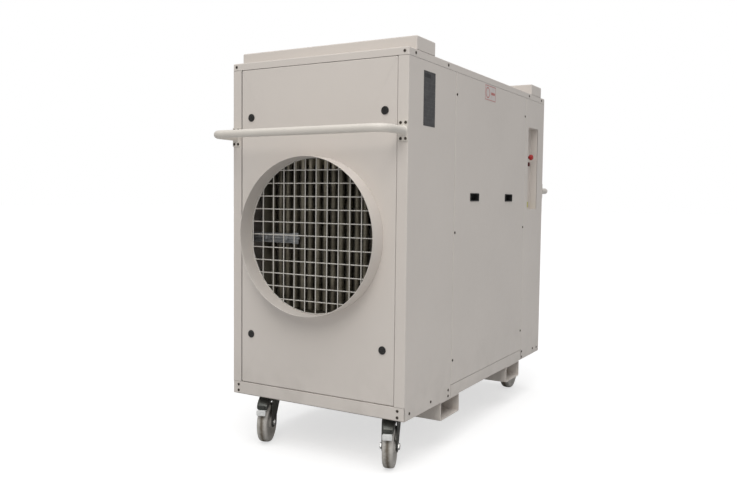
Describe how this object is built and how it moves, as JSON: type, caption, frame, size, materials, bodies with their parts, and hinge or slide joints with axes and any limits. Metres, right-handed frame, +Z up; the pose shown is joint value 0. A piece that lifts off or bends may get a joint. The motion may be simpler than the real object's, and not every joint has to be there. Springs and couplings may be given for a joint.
{
  "type": "commercial dehumidifier",
  "caption": "Large sheet-steel dehumidifier cabinet on castors with a round duct outlet and guard, push handles, fork pockets, service panels and a recessed control station.",
  "frame": {"origin": "on the floor, under the middle of the machine", "axes": "+Z up, front face with the duct outlet towards -Y, +X to the side with the control recess"},
  "size_m": [0.795, 1.86, 1.58],
  "materials": {
    "cream_powder_coat": "satin cream powder coat with a fine orange-peel texture on folded steel sheet",
    "guard_wire": "cream powder coat on welded steel wire",
    "grille": "satin cream powder coat on pressed steel louvres",
    "black_moulding": "black moulded nylon",
    "red_button": "bright red moulded plastic",
    "dark_red_knob": "dark red moulded plastic",
    "green_button": "green moulded plastic",
    "rating_plate": "printed grey anodised aluminium",
    "label": "printed white vinyl",
    "filter_media": "grey pleated polyester filter mat",
    "coil_aluminium": "mill-finish aluminium",
    "galvanised": "galvanised steel sheet",
    "compressor_black": "semi-gloss black enamel",
    "heater_element": "heat-tinted finned steel tube",
    "castor_zinc": "dark passivated zinc on pressed steel",
    "bright_zinc": "bright zinc plate",
    "nylon_wheel": "off-white cast nylon, scuffed along the tread"
  },
  "bodies": {
    "cabinet": {"base_frame": "cream_powder_coat", "castor_axle_rear_left": "bright_zinc", "castor_axle_rear_right": "bright_zinc", "castor_bracket_left": "castor_zinc", "castor_bracket_right": "castor_zinc", "castor_plate_left": "castor_zinc", "castor_plate_right": "castor_zinc", "compressor": "compressor_black", "condenser_coil": "coil_aluminium", "control_box": "cream_powder_coat", "drip_tray": "galvanised", "evaporator_coil": "coil_aluminium", "fan_bulkhead": "galvanised", "fan_motor": "compressor_black", "fork_pocket_front": "cream_powder_coat", "fork_pocket_rear": "cream_powder_coat", "front_handle": "cream_powder_coat", "front_panel": "cream_powder_coat", "heater_battery": "heater_element", "heater_bracket": "galvanised", "intake_filter": "filter_media", "intake_grille": "grille", "outlet_guard": "guard_wire", "outlet_spigot": "cream_powder_coat", "power_inlet": "black_moulding", "rating_plate": "rating_plate", "rear_handle": "cream_powder_coat", "rear_panel": "cream_powder_coat", "side_panel_front_left": "cream_powder_coat", "side_panel_front_right": "cream_powder_coat", "side_panel_rear_left": "cream_powder_coat", "side_panel_rear_right": "cream_powder_coat", "stacking_beam_front": "cream_powder_coat", "stacking_beam_rear": "cream_powder_coat", "top_cover": "cream_powder_coat"},
    "service_panel_right_body": {"service_panel_right": "cream_powder_coat", "pull_front_right": "black_moulding", "pull_rear_right": "black_moulding", "warning_label": "label"},
    "service_panel_left_body": {"service_panel_left": "cream_powder_coat", "pull_front_left": "black_moulding", "pull_rear_left": "black_moulding"},
    "lock_top_left": {"panel_lock_top_left": "black_moulding"},
    "lock_top_right": {"panel_lock_top_right": "black_moulding"},
    "lock_bottom_left": {"panel_lock_bottom_left": "black_moulding"},
    "lock_bottom_right": {"panel_lock_bottom_right": "black_moulding"},
    "emergency_stop": {"emergency_stop_button": "red_button"},
    "mains_switch": {"mains_switch_knob": "dark_red_knob"},
    "start": {"start_button": "green_button"},
    "fan": {"fan_wheel": "coil_aluminium"},
    "castor_right": {"castor_fork_right": "castor_zinc", "castor_axle_front_right": "bright_zinc"},
    "front_wheel_right": {"castor_wheel_front_right": "nylon_wheel"},
    "brake_right": {"brake_pedal_right": "bright_zinc"},
    "rear_wheel_right": {"castor_wheel_rear_right": "nylon_wheel"},
    "castor_left": {"castor_fork_left": "castor_zinc", "castor_axle_front_left": "bright_zinc"},
    "front_wheel_left": {"castor_wheel_front_left": "nylon_wheel"},
    "brake_left": {"brake_pedal_left": "bright_zinc"},
    "rear_wheel_left": {"castor_wheel_rear_left": "nylon_wheel"}
  },
  "joints": [
    {"name": "service_panel_right_lift_off", "type": "slide", "parent": "cabinet", "child": "service_panel_right_body", "axis": [1, 0, 0], "range_m": [0, 0.3]},
    {"name": "service_panel_left_lift_off", "type": "slide", "parent": "cabinet", "child": "service_panel_left_body", "axis": [-1, 0, 0], "range_m": [0, 0.3]},
    {"name": "lock_top_left_turn", "type": "hinge", "parent": "cabinet", "child": "lock_top_left", "pos_m": [-0.302, -0.775, 1.313], "axis": [0, -1, 0], "range_deg": [0, 90]},
    {"name": "lock_top_right_turn", "type": "hinge", "parent": "cabinet", "child": "lock_top_right", "pos_m": [0.302, -0.775, 1.313], "axis": [0, 1, 0], "range_deg": [0, 90]},
    {"name": "lock_bottom_left_turn", "type": "hinge", "parent": "cabinet", "child": "lock_bottom_left", "pos_m": [-0.302, -0.775, 0.451], "axis": [0, -1, 0], "range_deg": [0, 90]},
    {"name": "lock_bottom_right_turn", "type": "hinge", "parent": "cabinet", "child": "lock_bottom_right", "pos_m": [0.302, -0.775, 0.451], "axis": [0, 1, 0], "range_deg": [0, 90]},
    {"name": "emergency_stop_push", "type": "slide", "parent": "cabinet", "child": "emergency_stop", "axis": [-1, 0, 0], "range_m": [0, 0.004]},
    {"name": "mains_switch_turn", "type": "hinge", "parent": "cabinet", "child": "mains_switch", "pos_m": [0.354, 0.61, 1.183], "axis": [1, 0, 0], "range_deg": [0, 90]},
    {"name": "start_button_push", "type": "slide", "parent": "cabinet", "child": "start", "axis": [-1, 0, 0], "range_m": [0, 0.003], "stiffness_N_per_m": 500},
    {"name": "fan_spin", "type": "hinge", "parent": "cabinet", "child": "fan", "pos_m": [0, -0.25, 0.855], "axis": [0, 1, 0], "continuous": true},
    {"name": "castor_right_swivel", "type": "hinge", "parent": "cabinet", "child": "castor_right", "pos_m": [0.288, -0.668, 0.19], "axis": [0, 0, 1], "continuous": true},
    {"name": "front_wheel_right_roll", "type": "hinge", "parent": "castor_right", "child": "front_wheel_right", "pos_m": [0.30413, -0.71001, 0.08], "axis": [0.9336, 0.3584, 0], "continuous": true},
    {"name": "brake_right_press", "type": "hinge", "parent": "castor_right", "child": "brake_right", "pos_m": [0.30879, -0.72215, 0.163], "axis": [0.9336, 0.3584, 0], "range_deg": [0, 5]},
    {"name": "rear_wheel_right_roll", "type": "hinge", "parent": "cabinet", "child": "rear_wheel_right", "pos_m": [0.262, 0.69, 0.08], "axis": [1, 0, 0], "continuous": true},
    {"name": "castor_left_swivel", "type": "hinge", "parent": "cabinet", "child": "castor_left", "pos_m": [-0.288, -0.668, 0.19], "axis": [0, 0, 1], "continuous": true},
    {"name": "front_wheel_left_roll", "type": "hinge", "parent": "castor_left", "child": "front_wheel_left", "pos_m": [-0.27187, -0.71001, 0.08], "axis": [0.9336, 0.3584, 0], "continuous": true},
    {"name": "brake_left_press", "type": "hinge", "parent": "castor_left", "child": "brake_left", "pos_m": [-0.26721, -0.72215, 0.163], "axis": [0.9336, 0.3584, 0], "range_deg": [0, 5]},
    {"name": "rear_wheel_left_roll", "type": "hinge", "parent": "cabinet", "child": "rear_wheel_left", "pos_m": [-0.262, 0.69, 0.08], "axis": [1, 0, 0], "continuous": true}
  ]
}
